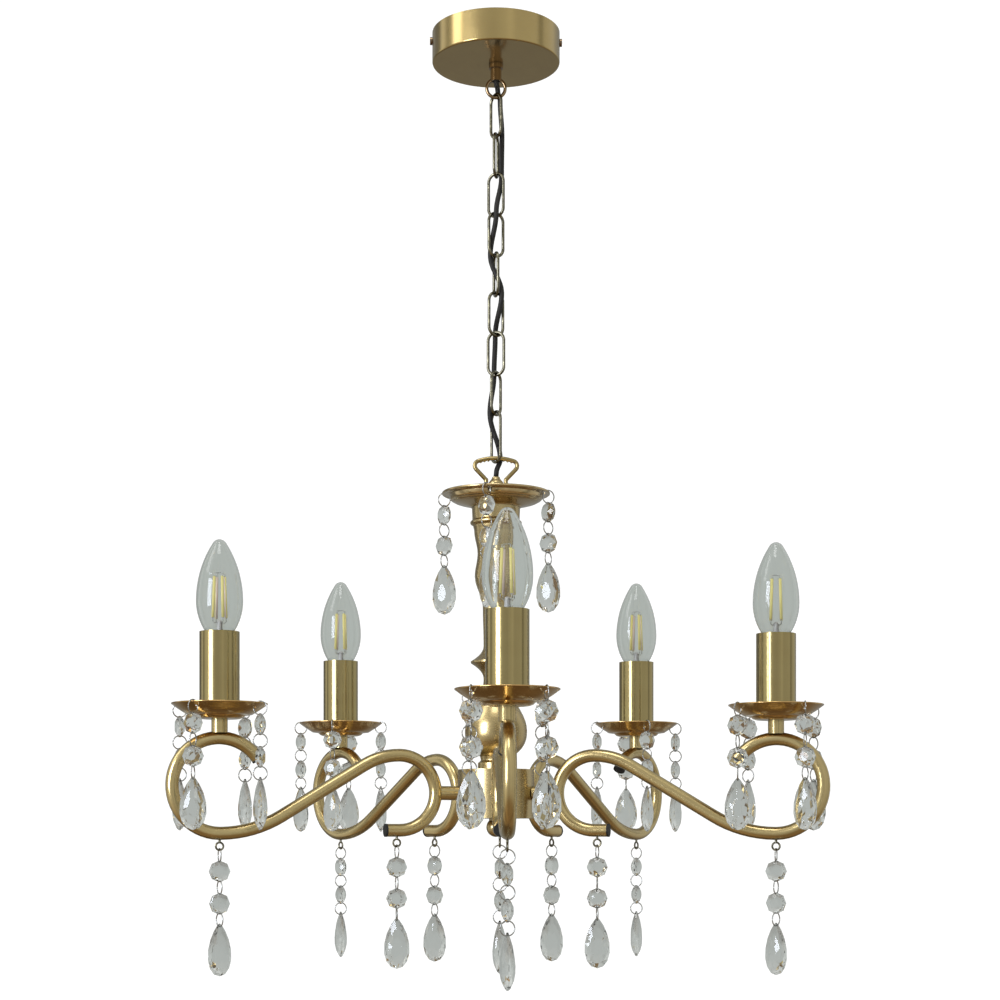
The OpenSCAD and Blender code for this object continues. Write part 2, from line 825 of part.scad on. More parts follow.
// A neck saddled on the loop, with a threaded nipple through the pan into the lampholder
module candle_necks() {
    color("goldenrod")
        at_fixture()
            each_arm()
                difference() {
                    translate([candle_r, 0, loop_top_up + neck_foot]) {
                        cylinder(r = neck_r, h = tube_r + neck_h - gap - neck_foot, $fn = wire_fn);
                        cylinder(r = nipple_r, h = tube_r + neck_h + nipple_h - neck_foot, $fn = wire_fn);
                    }
                    bend(outer_c, outer_bend_r, 60, 120, tube_r + gap);
                    translate([candle_r, 0, loop_top_up - cut])
                        cylinder(r = wire_hole_r, h = 2 * (tube_r + neck_h + nipple_h), $fn = wire_fn);
                }
}

module lampholders() {
    floor_h = 30;
    wire_y = 3;
    wire_way_r = 1;
    wire_way_up = 1;
    color("whitesmoke")
        at_fixture()
            each_arm()
                translate([candle_r, 0, cup_up])
                    difference() {
                        cylinder(r = holder_r, h = holder_h, $fn = round_fn);
                        translate([0, 0, -cut])
                            cylinder(r = nipple_r + gap, h = nipple_h + cut, $fn = wire_fn);
                        translate([0, 0, floor_h])
                            cylinder(r = holder_bore_r, h = holder_h, $fn = wire_fn);
                        for (y = [-wire_y, wire_y])
                            translate([0, y, wire_way_up])
                                cylinder(r = wire_way_r, h = holder_h, $fn = wire_fn);
                    }
}

module candle_sleeves() {
    color("darkkhaki")
        at_fixture()
            each_arm()
                translate([candle_r, 0, cup_up])
                    difference() {
                        cylinder(r = sleeve_r, h = sleeve_h, $fn = round_fn);
                        translate([0, 0, -cut])
                            cylinder(r = sleeve_r - sleeve_wall, h = sleeve_h + 2 * cut, $fn = round_fn);
                    }
}

// The wire to each lamp, from the hub through the arm and up the neck
module lamp_wires() {
    scroll_c = [inner_loop_x - inner_bend_r, inner_bend_up];
    loop_c = [candle_r, loop_top_up];
    hub_end = [8, boss_up];
    color("whitesmoke")
        at_fixture()
            each_arm() {
                rod(hub_end, scroll_c, lamp_wire_r);
                arm_sweep(lamp_wire_r, 180, 90);
                rod(loop_c, loop_c + [0, tube_r + neck_h + nipple_h - cut], lamp_wire_r);
                for (p = [scroll_c, loop_c])
                    translate([p[0], 0, p[1]])
                        sphere(r = lamp_wire_r + gap, $fn = wire_fn);
            }
}

// Glass outline below its tip, in from the true surface by an amount: tip, flank, belly, throat
function glass_outline(in, n) =
    let(
        flank_x = bulb_r - flank_bend_r,
        belly_x = bulb_r - belly_bend_r,
        tip_r = (widest_d * widest_d + flank_x * flank_x - flank_bend_r * flank_bend_r)
            / (2 * (widest_d - flank_bend_r)),
        tip_a = atan2(widest_d - tip_r, -flank_x),
        throat_a = -asin((glass_h - 3 - widest_d) / belly_bend_r)
    )
    concat(
        arc([0, -tip_r], tip_r - in, 90, tip_a, n),
        arc([flank_x, -widest_d], flank_bend_r - in, tip_a - (tip_a / n), 0, n),
        arc([belly_x, -widest_d], belly_bend_r - in, throat_a / n, throat_a, n)
    );

module bulb() {
    neck = cap_r - gap;
    outer = concat(glass_outline(0, 8), [[neck, -glass_h]]);
    inner = concat(glass_outline(glass_wall, 8), [[neck - glass_wall, -glass_h]]);
    thread_d = 0.3;
    thread_from = 4;
    thread_pitch = 3.4;
    thread = [for (k = [0:20])
        [cap_r - thread_d - thread_d * cos(k * 90), -glass_h - thread_from - k * thread_pitch / 4]];
    cap_foot = -glass_h - cap_h;
    cap_taper_r = 5;
    contact_r = 2.4;
    stem_foot_r = 4;
    stem_top_r = 1.2;
    stem_h = 15;
    filament_r = 1.1;
    filament_top = [4.2, -26.5];
    filament_foot = [5.6, -60];
    color("lightgray")
        rotate_extrude($fn = round_fn)
            polygon(concat(outer, reversed(inner)));
    color("gainsboro")
        rotate_extrude($fn = round_fn)
            polygon(concat(
                [[0, -glass_h - gap], [cap_r, -glass_h - gap]],
                thread,
                [[cap_taper_r, cap_foot + 2.5], [contact_r, cap_foot + 1.5]],
                [[contact_r, cap_foot], [0, cap_foot]]
            ));
    color("white")
        translate([0, 0, -glass_h])
            cylinder(r1 = stem_foot_r, r2 = stem_top_r, h = stem_h, $fn = wire_fn);
    color("khaki")
        for (a = [45:90:315])
            rotate([0, 0, a])
                rod(filament_foot, filament_top, filament_r);
}

module bulb_on(i) {
    at_fixture()
        rotate([0, 0, arm_angle(i)])
            translate([candle_r, 0, bulb_tip_up])
                bulb();
}

// A ring's hole through a crystal, along X
module crystal_hole(thickness, z) {
    translate([-thickness, 0, z])
        rotate([0, 90, 0])
            rotate([0, 0, seam_turn])
                cylinder(r = bead_hole_r, h = 2 * thickness, $fn = wire_fn);
}

// An octagon bead with a raised table on both faces; its faces look along X
module bead() {
    difference() {
        rotate([0, 90, 0])
            hull() {
                cylinder(r = bead_r, h = bead_edge, center = true, $fn = 8);
                rotate([0, 0, 360 / 16])
                    cylinder(r = bead_table_r, h = bead_t, center = true, $fn = 8);
            }
        for (z = [-bead_hole_z, bead_hole_z])
            crystal_hole(bead_t, z);
    }
}

// A flat teardrop outline: a circle's sine pinched towards its top, scaled back to the full width
function drop_outline(n) = [for (i = [0:n - 1])
    let(t = i * 360 / n)
    [drop_len / 2 * cos(t), drop_w / 2 * sin(t) * pow(sin(t / 2), drop_pinch) / drop_fullest]];

// A teardrop crystal about its middle, with facets that run in to a small table on both faces
module drop() {
    difference() {
        rotate([0, -90, 0])
            hull() {
                linear_extrude(drop_edge, center = true)
                    polygon(drop_outline(16));
                translate([drop_middle * drop_len, 0, 0])
                    cylinder(r = drop_table_r, h = drop_t, center = true, $fn = 8);
            }
        crystal_hole(drop_t, drop_hole_z);
    }
}

// Ring, bead, ring, bead, ring, teardrop, hanging below a pivot
module strand(hang, turn, twist) {
    bead_count = 2;
    color("silver")
        for (i = [0:bead_count])
            translate([0, 0, -hang - 2 * i * link_pitch])
                rotate([0, 0, turn + 2 * i * twist])
                    upright_ring(ring_r, ring_wire_r);
    color("white")
        for (i = [0:bead_count - 1])
            translate([0, 0, -hang - (2 * i + 1) * link_pitch])
                rotate([0, 0, turn + (2 * i + 1) * twist])
                    bead();
    color("white")
        translate([0, 0, -hang - 2 * bead_count * link_pitch - ring_r + ring_bow - drop_hole_z])
            rotate([0, 0, turn + (2 * bead_count + 1) * twist])
                drop();
}

// The strand's first ring hangs this far below the rim's or the eyelet's centre
function hang_on(r) = ring_r - ring_wire_r - r - gap;

module dish_strand(k) {
    at_fixture()
        rotate([0, 0, 90 * k + dish_strands_from])
            translate([dish_r - dish_roll_r, 0, dish_up - dish_roll_r])
                strand(hang_on(dish_roll_r), dish_turn[k], dish_twist[k]);
}

module pan_strand(i, k) {
    at_fixture()
        rotate([0, 0, arm_angle(i)])
            translate([candle_r, 0, pan_rim_up - pan_roll_r])
                rotate([0, 0, 45 + 90 * k])
                    translate([pan_r - pan_roll_r, 0, 0])
                        strand(hang_on(pan_roll_r), pan_turn[i][k], pan_twist[i][k]);
}

module eye_strand(i, x, up, twist) {
    at_fixture()
        rotate([0, 0, arm_angle(i)])
            translate([x, 0, up - eye_drop - eye_r])
                strand(hang_on(eye_wire_r), 90, twist);
}

module outer_strand(i) {
    eye_strand(i, candle_r, outer_eye_up, outer_twist[i]);
}

module inner_strand(i) {
    eye_strand(i, inner_eye_x, inner_eye_up, inner_twist[i]);
}

ceiling_bracket();
canopy();
canopy_fixings();
hang_loop();
supply_connector();
chain_links();
supply_cord();
stirrup();
assembly_nuts();
crown_dish();
column();
centre_tube();
hub();
arms();
arm_end_plugs();
eyelets();
drip_pans();
candle_necks();
lampholders();
candle_sleeves();
lamp_wires();
bulb_on(0);  // bulb_front
bulb_on(1);  // bulb_right
bulb_on(2);  // bulb_back_right
bulb_on(3);  // bulb_back_left
bulb_on(4);  // bulb_left
dish_strand(0);  // dish_strand_right
dish_strand(1);  // dish_strand_back
dish_strand(2);  // dish_strand_left
dish_strand(3);  // dish_strand_front
pan_strand(0, 0);  // pan_strand_front_1
pan_strand(0, 1);  // pan_strand_front_2
pan_strand(0, 2);  // pan_strand_front_3
pan_strand(0, 3);  // pan_strand_front_4
pan_strand(1, 0);  // pan_strand_right_1
pan_strand(1, 1);  // pan_strand_right_2
pan_strand(1, 2);  // pan_strand_right_3
pan_strand(1, 3);  // pan_strand_right_4
pan_strand(2, 0);  // pan_strand_back_right_1
pan_strand(2, 1);  // pan_strand_back_right_2
pan_strand(2, 2);  // pan_strand_back_right_3
pan_strand(2, 3);  // pan_strand_back_right_4
pan_strand(3, 0);  // pan_strand_back_left_1
pan_strand(3, 1);  // pan_strand_back_left_2
pan_strand(3, 2);  // pan_strand_back_left_3
pan_strand(3, 3);  // pan_strand_back_left_4
pan_strand(4, 0);  // pan_strand_left_1
pan_strand(4, 1);  // pan_strand_left_2
pan_strand(4, 2);  // pan_strand_left_3
pan_strand(4, 3);  // pan_strand_left_4
outer_strand(0);  // outer_strand_front
outer_strand(1);  // outer_strand_right
outer_strand(2);  // outer_strand_back_right
outer_strand(3);  // outer_strand_back_left
outer_strand(4);  // outer_strand_left
inner_strand(0);  // inner_strand_front
inner_strand(1);  // inner_strand_right
inner_strand(2);  // inner_strand_back_right
inner_strand(3);  // inner_strand_back_left
inner_strand(4);  // inner_strand_left
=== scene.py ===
import json
import math

import bmesh
import bpy
import numpy as np
from mathutils import Matrix, Vector


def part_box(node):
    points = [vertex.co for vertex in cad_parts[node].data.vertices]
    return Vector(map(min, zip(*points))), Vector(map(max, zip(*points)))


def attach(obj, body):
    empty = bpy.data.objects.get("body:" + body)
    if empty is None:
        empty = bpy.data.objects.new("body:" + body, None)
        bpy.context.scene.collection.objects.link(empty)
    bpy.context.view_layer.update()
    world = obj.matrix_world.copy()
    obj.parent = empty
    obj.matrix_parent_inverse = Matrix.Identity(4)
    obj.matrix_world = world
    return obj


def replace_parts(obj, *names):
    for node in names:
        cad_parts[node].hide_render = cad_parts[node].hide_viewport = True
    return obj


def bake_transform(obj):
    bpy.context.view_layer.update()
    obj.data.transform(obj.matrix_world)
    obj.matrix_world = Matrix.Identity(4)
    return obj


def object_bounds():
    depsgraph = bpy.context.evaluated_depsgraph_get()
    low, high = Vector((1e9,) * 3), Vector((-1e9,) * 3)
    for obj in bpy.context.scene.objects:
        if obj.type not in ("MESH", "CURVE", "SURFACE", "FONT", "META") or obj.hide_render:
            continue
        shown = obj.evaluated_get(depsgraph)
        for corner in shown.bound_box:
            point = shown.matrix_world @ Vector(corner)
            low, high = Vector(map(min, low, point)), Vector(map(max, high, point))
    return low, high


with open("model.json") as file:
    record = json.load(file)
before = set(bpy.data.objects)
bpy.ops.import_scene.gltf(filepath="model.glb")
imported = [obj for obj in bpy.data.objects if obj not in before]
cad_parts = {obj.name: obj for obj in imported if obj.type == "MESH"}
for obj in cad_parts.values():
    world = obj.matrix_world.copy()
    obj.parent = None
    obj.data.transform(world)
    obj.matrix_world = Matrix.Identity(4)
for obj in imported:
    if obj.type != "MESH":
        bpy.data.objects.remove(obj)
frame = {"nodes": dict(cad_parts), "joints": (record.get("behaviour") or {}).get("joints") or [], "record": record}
cad_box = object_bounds()

MM = 0.001
CANDLES = ("front", "right", "back_right", "back_left", "left")
ARMS_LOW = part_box("arms")[0].z


# ---------------------------------------------------------------- node helpers

def add(tree, kind, inputs=None, **settings):
    """A new shader or geometry node, with its settings and its inputs set or linked."""
    node = tree.nodes.new(kind)
    for key, value in settings.items():
        setattr(node, key, value)
    for key, value in (inputs or {}).items():
        socket = node.inputs[key]
        if isinstance(value, bpy.types.NodeSocket):
            tree.links.new(value, socket)
        else:
            socket.default_value = value
    return node


def math_node(tree, operation, a, b=0.0, c=0.0, clamp=False):
    return add(tree, "ShaderNodeMath", {0: a, 1: b, 2: c}, operation=operation, use_clamp=clamp).outputs[0]


def mix_colour(tree, factor, a, b, blend="MIX"):
    mixed = add(tree, "ShaderNodeMix", data_type="RGBA", blend_type=blend)
    for socket, value in ((mixed.inputs[0], factor), (mixed.inputs[6], a), (mixed.inputs[7], b)):
        if isinstance(value, bpy.types.NodeSocket):
            tree.links.new(value, socket)
        else:
            socket.default_value = value
    return mixed.outputs[2]


def ramp(tree, factor, stops, interpolation="LINEAR"):
    node = add(tree, "ShaderNodeValToRGB", {0: factor})
    elements = node.color_ramp.elements
    node.color_ramp.interpolation = interpolation
    while len(elements) < len(stops):
        elements.new(0.5)
    for element, (place, colour) in zip(elements, stops):
        element.position = place
        element.color = colour if len(colour) == 4 else (*colour, 1)
    return node.outputs[0]


def grey(value):
    return (value, value, value, 1)


def noise(tree, vector, scale, detail=3.0, rough=0.5):
    inputs = {"Vector": vector, "Scale": scale, "Detail": detail, "Roughness": rough}
    return add(tree, "ShaderNodeTexNoise", inputs).outputs[0]


def scaled(tree, vector, scale):
    return add(tree, "ShaderNodeMapping", {"Vector": vector, "Scale": scale}).outputs[0]


def object_coords(tree):
    return add(tree, "ShaderNodeTexCoord").outputs["Object"]


def material(name):
    made = bpy.data.materials.new(name)
    made.use_nodes = True
    made.node_tree.nodes.clear()
    return made, made.node_tree


def output(tree, shader):
    add(tree, "ShaderNodeOutputMaterial", {"Surface": shader})


# ---------------------------------------------------------------- metals

def around_axis(tree):
    """Coordinates for lines turned about the light's own axis: radius, height and a little of the angle."""
    split = add(tree, "ShaderNodeSeparateXYZ", {0: object_coords(tree)})
    x, y, z = split.outputs
    radius = math_node(tree, "SQRT", math_node(tree, "ADD", math_node(tree, "MULTIPLY", x, x),
                                               math_node(tree, "MULTIPLY", y, y)))
    angle = math_node(tree, "MULTIPLY", math_node(tree, "ARCTAN2", y, x), 0.002)
    return add(tree, "ShaderNodeCombineXYZ", {0: radius, 1: z, 2: angle}).outputs[0]


def metal(name, base, deep, roughness, brushed=0.0, grain=(900, 900, 900), turned=False, drift=0.45,
          crevice_shade=0.5, anisotropic=0.0, worn=None, lacquer=0.5):
    """Lacquered metal: its colour drifts to a deeper tone, brush lines follow grain, and painted shade darkens its
    colour in crevices.
    """
    made, tree = material(name)
    coords = object_coords(tree)
    grain_coords = around_axis(tree) if turned else coords
    lines = noise(tree, scaled(tree, grain_coords, grain), 1.0, 4.0, 0.6)
    blotches = noise(tree, coords, 55.0, 2.0)
    fine = noise(tree, coords, 400.0, 2.0)
    streaks = math_node(tree, "MULTIPLY", lines, brushed * 0.6)
    tone = math_node(tree, "MULTIPLY_ADD", blotches, drift, streaks)
    low = 0.35 * drift + 0.25 * brushed
    colour = mix_colour(tree, math_node(tree, "SUBTRACT", tone, low, clamp=True), (*base, 1), (*deep, 1))
    if worn:
        rubbed = ramp(tree, noise(tree, coords, 260.0, 4.0), [(0.52, grey(0)), (0.68, grey(1))])
        colour = mix_colour(tree, rubbed, colour, (*worn, 1))
    # painted shade: ambient occlusion darkens the colour in crevices and hollows; on the antique brass it also
    # stands for the patina left there
    occlusion = add(tree, "ShaderNodeAmbientOcclusion", {"Distance": 0.005}, samples=4).outputs["AO"]
    shade = ramp(tree, occlusion, [(0.25, grey(1 - crevice_shade)), (0.8, grey(1))])
    colour = mix_colour(tree, 1.0, colour, shade, "MULTIPLY")
    rough = math_node(tree, "MULTIPLY_ADD", lines, 0.2 * brushed, roughness - 0.1 * brushed)
    rough = math_node(tree, "MULTIPLY_ADD", fine, 0.05, math_node(tree, "SUBTRACT", rough, 0.025))
    dent = add(tree, "ShaderNodeBump",
               {"Strength": 0.01 + 0.16 * brushed, "Distance": 0.08 * MM, "Height": lines})
    inputs = {"Base Color": colour, "Metallic": 1.0, "Roughness": rough, "Normal": dent.outputs[0],
              "Anisotropic": anisotropic, "Coat Weight": lacquer, "Coat Roughness": 0.06}
    shader = add(tree, "ShaderNodeBsdfPrincipled", inputs)
    if anisotropic:
        tangent = add(tree, "ShaderNodeTangent", direction_type="RADIAL", axis="Z")
        tree.links.new(tangent.outputs[0], shader.inputs["Tangent"])
    output(tree, shader.outputs[0])
    return made


BRASS_DEEP = (0.33, 0.225, 0.095)
canopy_brass = metal("canopy_brass", (0.47, 0.35, 0.145), BRASS_DEEP, 0.19, brushed=0.7,
                     grain=(600, 9000, 900), turned=True, anisotropic=0.35, lacquer=0.25)
sleeve_brass = metal("sleeve_brass", (0.37, 0.295, 0.13), (0.29, 0.205, 0.08), 0.17, brushed=0.3,
                     grain=(520, 520, 9), drift=0.6, crevice_shade=0.35, lacquer=0.2)
tube_brass = metal("tube_brass", (0.52, 0.405, 0.19), BRASS_DEEP, 0.24, crevice_shade=0.6, lacquer=0.3)
turned_brass = metal("turned_brass", (0.48, 0.37, 0.18), BRASS_DEEP, 0.27, brushed=0.25,
                     grain=(2500, 2500, 800), turned=True, crevice_shade=0.7, lacquer=0.25)
bent_brass = metal("bent_brass", (0.36, 0.27, 0.11), (0.2, 0.14, 0.055), 0.18, crevice_shade=0.7)
spun_brass = metal("spun_brass", (0.54, 0.41, 0.21), (0.34, 0.22, 0.09), 0.16, crevice_shade=0.85)
spun_copper = metal("spun_copper", (0.62, 0.4, 0.155), (0.33, 0.19, 0.07), 0.16, crevice_shade=0.7)
bronze = metal("dark_bronze", (0.13, 0.118, 0.078), (0.045, 0.04, 0.026), 0.2, crevice_shade=0.7,
               worn=(0.34, 0.31, 0.21))
loop_bronze = metal("loop_bronze", (0.28, 0.19, 0.1), (0.1, 0.06, 0.03), 0.12, crevice_shade=0.8)
steel = metal("plated_steel", (0.6, 0.6, 0.58), (0.42, 0.42, 0.41), 0.34, brushed=0.4, lacquer=0.0)
chrome = metal("ring_chrome", (0.42, 0.42, 0.41), (0.2, 0.2, 0.2), 0.14, crevice_shade=0.3, lacquer=0.0)


# ---------------------------------------------------------------- plastics and glass

def plastic(name, base, deep, roughness, glow=0.0, sheen=0.5):
    made, tree = material(name)
    coords = object_coords(tree)
    colour = mix_colour(tree, noise(tree, coords, 140.0), (*base, 1), (*deep, 1))
    grain = noise(tree, coords, 2600.0, 2.0)
    rough = math_node(tree, "MULTIPLY_ADD", grain, 0.2, roughness - 0.1)
    dent = add(tree, "ShaderNodeBump", {"Strength": 0.1, "Distance": 0.05 * MM, "Height": grain})
    inputs = {"Base Color": colour, "Roughness": rough, "Normal": dent.outputs[0],
              "Specular IOR Level": sheen, "Emission Color": colour, "Emission Strength": glow}
    output(tree, add(tree, "ShaderNodeBsdfPrincipled", inputs).outputs[0])
    return made


def glass(name, colour, ior, haze, smudge_scale):
    """Clear glass with a faint uneven film; a shadow ray passes straight through it."""
    made, tree = material(name)
    film = noise(tree, object_coords(tree), smudge_scale, 3.0)
    rough = math_node(tree, "MULTIPLY", ramp(tree, film, [(0.45, grey(0)), (0.75, grey(1))]), haze)
    ripple = add(tree, "ShaderNodeBump", {"Strength": 0.04, "Distance": 0.2 * MM, "Height": film})
    inputs = {"Base Color": (*colour, 1), "Roughness": rough, "IOR": ior, "Transmission Weight": 1.0,
              "Normal": ripple.outputs[0]}
    body = add(tree, "ShaderNodeBsdfPrincipled", inputs)
    clear = add(tree, "ShaderNodeBsdfTransparent", {"Color": (*[0.94 * c for c in colour], 1)})
    path = add(tree, "ShaderNodeLightPath")
    mixed = add(tree, "ShaderNodeMixShader",
                {0: path.outputs["Is Shadow Ray"], 1: body.outputs[0], 2: clear.outputs[0]})
    output(tree, mixed.outputs[0])
    return made


cord_jacket = plastic("cord_jacket", (0.012, 0.011, 0.01), (0.022, 0.02, 0.018), 0.55, sheen=0.22)
black_plastic = plastic("black_plastic", (0.01, 0.0095, 0.009), (0.02, 0.019, 0.018), 0.55, sheen=0.22)
white_plastic = plastic("white_plastic", (0.82, 0.8, 0.74), (0.72, 0.69, 0.62), 0.45)
# painted light: the phosphor and the bare ceramic glow faintly, though the bulbs are not lit, so that they stay
# bright behind the glass
phosphor = plastic("phosphor", (0.93, 0.82, 0.3), (0.88, 0.74, 0.24), 0.6, glow=0.25)
ceramic = plastic("ceramic", (0.88, 0.72, 0.62), (0.8, 0.62, 0.5), 0.5, glow=0.12)
stem_glass = plastic("stem_glass", (0.82, 0.78, 0.74), (0.7, 0.66, 0.62), 0.3)
bulb_glass = glass("bulb_glass", (0.97, 0.985, 0.975), 1.46, 0.05, 90.0)
crystal = glass("crystal", (0.985, 0.99, 0.985), 1.53, 0.04, 160.0)


# ---------------------------------------------------------------- CAD nodes

SHARP_FROM = math.radians(35)


def smooth_group():
    """Joins the CAD mesh at its seams and shades it smooth wherever it bends by less than SHARP_FROM."""
    group = bpy.data.node_groups.new("smooth_bends", "GeometryNodeTree")
    group.interface.new_socket("Geometry", in_out="INPUT", socket_type="NodeSocketGeometry")
    group.interface.new_socket("Geometry", in_out="OUTPUT", socket_type="NodeSocketGeometry")
    shape = add(group, "NodeGroupInput").outputs[0]
    plain = add(group, "GeometryNodeRemoveAttribute", {"Geometry": shape, "Name": "custom_normal"})
    merged = add(group, "GeometryNodeMergeByDistance", {"Geometry": plain.outputs[0], "Distance": 1e-6})
    faces = add(group, "GeometryNodeSetShadeSmooth", {"Geometry": merged.outputs[0]},
                domain="FACE").outputs[0]
    bend = add(group, "GeometryNodeInputMeshEdgeAngle").outputs["Unsigned Angle"]
    gentle = add(group, "FunctionNodeCompare", {0: bend, 1: SHARP_FROM},
                 data_type="FLOAT", operation="LESS_THAN").outputs[0]
    edges = add(group, "GeometryNodeSetShadeSmooth", {"Geometry": faces, "Shade Smooth": gentle},
                domain="EDGE")
    add(group, "NodeGroupOutput", {0: edges.outputs[0]})
    return group


SMOOTH = smooth_group()
FINISH = {
    "ceiling_bracket": (steel, "plated_steel"),
    "canopy": (canopy_brass, "antique_brass"),
    "canopy_fixings": (loop_bronze, "antique_brass"),
    "hang_loop": (loop_bronze, "antique_brass"),
    "chain_links": (bronze, "dark_bronze"),
    "stirrup": (bent_brass, "antique_brass"),
    "assembly_nuts": (turned_brass, "antique_brass"),
    "crown_dish": (spun_brass, "copper_brass"),
    "column": (turned_brass, "antique_brass"),
    "centre_tube": (steel, "plated_steel"),
    "hub": (turned_brass, "antique_brass"),
    "arms": (tube_brass, "antique_brass"),
    "arm_end_plugs": (black_plastic, "black_plastic"),
    "eyelets": (bronze, "dark_bronze"),
    "drip_pans": (spun_copper, "copper_brass"),
    "candle_necks": (tube_brass, "antique_brass"),
    "lampholders": (white_plastic, "white_plastic"),
    "candle_sleeves": (sleeve_brass, "antique_brass"),
    "lamp_wires": (white_plastic, "white_plastic"),
}
SMOOTHED = ("crown_dish", "column", "drip_pans", "assembly_nuts")

for node_name, (finish, slot_name) in FINISH.items():
    cad = frame["nodes"][node_name]
    cad.data.materials.clear()
    cad.data.materials.append(finish)
    if node_name in SMOOTHED:
        cad.modifiers.new("smooth_bends", "NODES").node_group = SMOOTH


def solids(node_name):
    """Vertices and faces of each separate solid of a CAD node, the highest one first."""
    mesh = frame["nodes"][node_name].data
    co = np.array([v.co for v in mesh.vertices])
    places, same = np.unique(np.round(co, 7), axis=0, return_inverse=True)
    same = same.reshape(-1)
    root = list(range(len(places)))

    def find(i):
        while root[i] != i:
            root[i] = root[root[i]]
            i = root[i]
        return i

    faces = [[int(same[i]) for i in p.vertices] for p in mesh.polygons]
    for face in faces:
        first = find(face[0])
        for i in face[1:]:
            root[find(i)] = first
    label = np.array([find(i) for i in range(len(places))])
    found = []
    for one in sorted(set(label)):
        index = np.flatnonzero(label == one)
        renumber = {int(old): new for new, old in enumerate(index)}
        own = [[renumber[i] for i in f] for f in faces if label[f[0]] == one]
        found.append((places[index], own))
    return sorted(found, key=lambda part: -(part[0][:, 2].max() + part[0][:, 2].min()))


# ---------------------------------------------------------------- mesh helpers

def piece(name, mesh, finish, body=None, smooth=False):
    """A new object for a mesh, with its material, attached to its body if one is given."""
    mesh.materials.append(finish)
    for polygon in mesh.polygons:
        polygon.use_smooth = smooth
    made = bpy.data.objects.new(name, mesh)
    bpy.context.scene.collection.objects.link(made)
    if body:
        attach(made, body)
    return made


def mesh_of(name, vertices, faces):
    mesh = bpy.data.meshes.new(name)
    mesh.from_pydata([tuple(v) for v in vertices], [], faces)
    mesh.validate()
    mesh.update()
    return mesh


def cleaned(mesh):
    """The same mesh with its faces turned outwards."""
    shape = bmesh.new()
    shape.from_mesh(mesh)
    bmesh.ops.remove_doubles(shape, verts=shape.verts, dist=1e-7)
    bmesh.ops.recalc_face_normals(shape, faces=shape.faces)
    shape.to_mesh(mesh)
    shape.free()
    return mesh


def joined(name, meshes_at):
    """One mesh from copies of (mesh, matrix)."""
    shape = bmesh.new()
    for mesh, matrix in meshes_at:
        start = len(shape.verts)
        shape.from_mesh(mesh)
        shape.verts.ensure_lookup_table()
        bmesh.ops.transform(shape, matrix=matrix, verts=shape.verts[start:])
    made = bpy.data.meshes.new(name)
    shape.to_mesh(made)
    shape.free()
    return made


def lathe(name, outline, sides):
    """A closed outline of (radius, height) turned about Z."""
    vertices, faces = [], []
    rings = []
    for radius, height in outline:
        if radius < 1e-7:
            rings.append([len(vertices)])
            vertices.append((0, 0, height))
        else:
            rings.append(range(len(vertices), len(vertices) + sides))
            turn = 2 * math.pi / sides
            vertices += [(radius * math.cos(k * turn), radius * math.sin(k * turn), height)
                         for k in range(sides)]
    for a, b in zip(rings, rings[1:] + rings[:1]):
        for k in range(sides):
            n = (k + 1) % sides
            corners = [a[k % len(a)], a[n % len(a)], b[n % len(b)], b[k % len(b)]]
            unique = list(dict.fromkeys(corners))
            if len(unique) > 2:
                faces.append(unique)
    return cleaned(mesh_of(name, vertices, faces))


def tube(name, path, radius, sides):
    """A round rod along a path of points."""
    path = [Vector(p) for p in path]
    vertices, faces = [], []
    side = Vector((1, 0, 0))
    for i, p in enumerate(path):
        along = (path[min(i + 1, len(path) - 1)] - path[max(i - 1, 0)]).normalized()
        side = (side - along * side.dot(along)).normalized()
        up = along.cross(side)
        for k in range(sides):
            turn = 2 * math.pi * k / sides
            vertices.append(p + radius * (math.cos(turn) * side + math.sin(turn) * up))
    for i in range(len(path) - 1):
        for k in range(sides):
            n = (k + 1) % sides
            faces.append([i * sides + k, i * sides + n, (i + 1) * sides + n, (i + 1) * sides + k])
    faces.append(list(range(sides))[::-1])
    faces.append([(len(path) - 1) * sides + k for k in range(sides)])
    return cleaned(mesh_of(name, vertices, faces))


def drilled(mesh, holes, radius, depth):
    """The mesh with a round hole along X at each height in holes."""
    body = bpy.data.objects.new("drilled", mesh)
    bpy.context.scene.collection.objects.link(body)
    cutters = [tube("drill", [(-depth, 0, z), (depth, 0, z)], radius, 16) for z in holes]
    cutter = bpy.data.objects.new("drills", joined("drills", [(c, Matrix()) for c in cutters]))
    bpy.context.scene.collection.objects.link(cutter)
    cut = body.modifiers.new("cut", "BOOLEAN")
    cut.object = cutter
    cut.operation = "DIFFERENCE"
    cut.solver = "EXACT"
    graph = bpy.context.evaluated_depsgraph_get()
    made = bpy.data.meshes.new_from_object(body.evaluated_get(graph))
    bpy.data.objects.remove(body)
    bpy.data.objects.remove(cutter)
    return made


# ---------------------------------------------------------------- crystals

def bead_mesh(size, thickness, edge):
    """Octagon bead facing along X: on each face a table, star facets, kites and triangles at the girdle."""
    corner_r = size / 2
    table_r, star_r = 0.44 * corner_r, 0.77 * corner_r
    low, high = edge / 2, thickness / 2
    star_h = low + (corner_r - star_r * math.cos(math.radians(22.5))) / (corner_r - table_r) * (high - low)
    vertices, faces = [], []

    def ring(radius, offset, x):
        start = len(vertices)
        for k in range(8):
            turn = math.radians(45 * k + offset)
            vertices.append((x, radius * math.sin(turn), radius * math.cos(turn)))
        return [start + k for k in range(8)]

    girdles = []
    for side in (1, -1):
        girdle = ring(corner_r, 0, side * low)
        star = ring(star_r, 22.5, side * star_h)
        table = ring(table_r, 0, side * high)
        for k in range(8):
            n = (k + 1) % 8
            faces.append([girdle[k], girdle[n], star[k]])
            faces.append([girdle[n], star[n], table[n], star[k]])
            faces.append([table[k], star[k], table[n]])
        faces.append(table)
        girdles.append(girdle)
    for k in range(8):
        n = (k + 1) % 8
        faces.append([girdles[0][k], girdles[0][n], girdles[1][n], girdles[1][k]])
    return cleaned(mesh_of("bead", vertices, faces))


